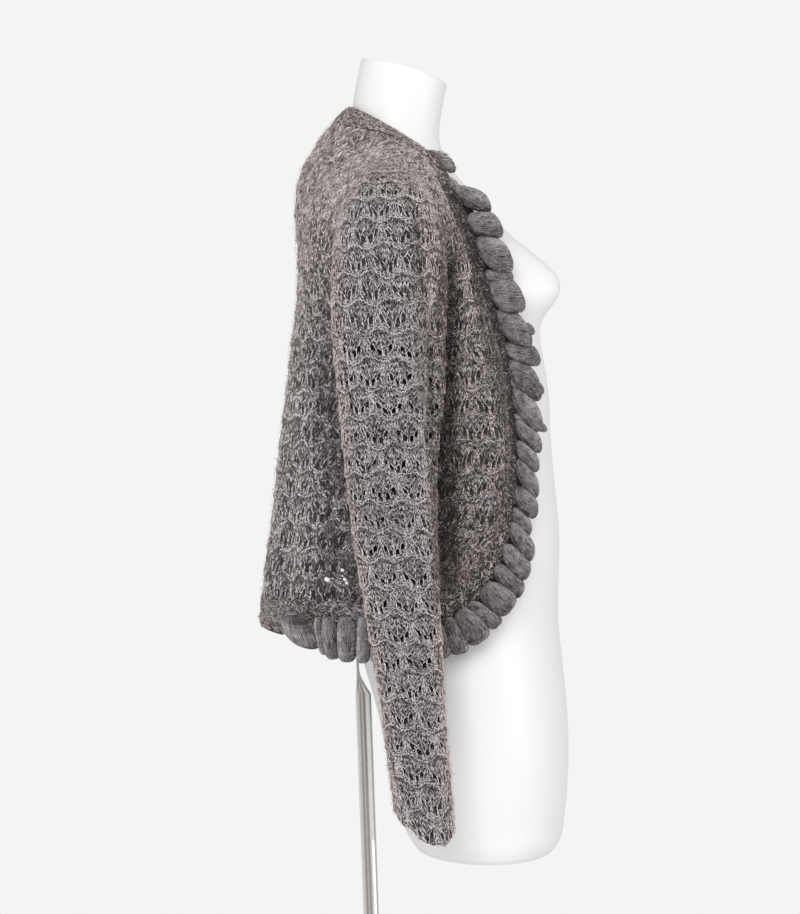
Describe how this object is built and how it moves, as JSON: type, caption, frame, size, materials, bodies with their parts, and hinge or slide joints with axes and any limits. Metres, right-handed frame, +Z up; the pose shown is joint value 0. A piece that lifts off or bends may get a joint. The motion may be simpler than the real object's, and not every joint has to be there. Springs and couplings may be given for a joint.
{
  "type": "knit bolero on a dress form",
  "caption": "Long-sleeved open-front lace-knit bolero with plain bands and a gathered ruffle edge, worn by a limbless dress form on a pole stand.",
  "frame": {"origin": "on the floor under the middle of the base plate", "axes": "+Z up; the wearer faces -Y; the wearer's right side is -X"},
  "size_m": [0.528, 0.37, 1.582],
  "materials": {
    "lace_knit": "matte",
    "band_knit": "matte",
    "ruffle_knit": "matte",
    "form_shell": "satin",
    "pole_chrome": "polished",
    "base_steel": "satin"
  },
  "bodies": {
    "root": {"back": "lace_knit", "left_front": "lace_knit", "right_front": "lace_knit", "left_sleeve_outer": "lace_knit", "left_sleeve_inner": "lace_knit", "right_sleeve_outer": "lace_knit", "right_sleeve_inner": "lace_knit", "neck_band": "band_knit", "left_band": "band_knit", "right_band": "band_knit", "back_band": "band_knit", "left_ruffle": "ruffle_knit", "right_ruffle": "ruffle_knit", "back_ruffle": "ruffle_knit", "dress_form": "form_shell", "pole": "pole_chrome", "base_plate": "base_steel"}
  },
  "joints": []
}
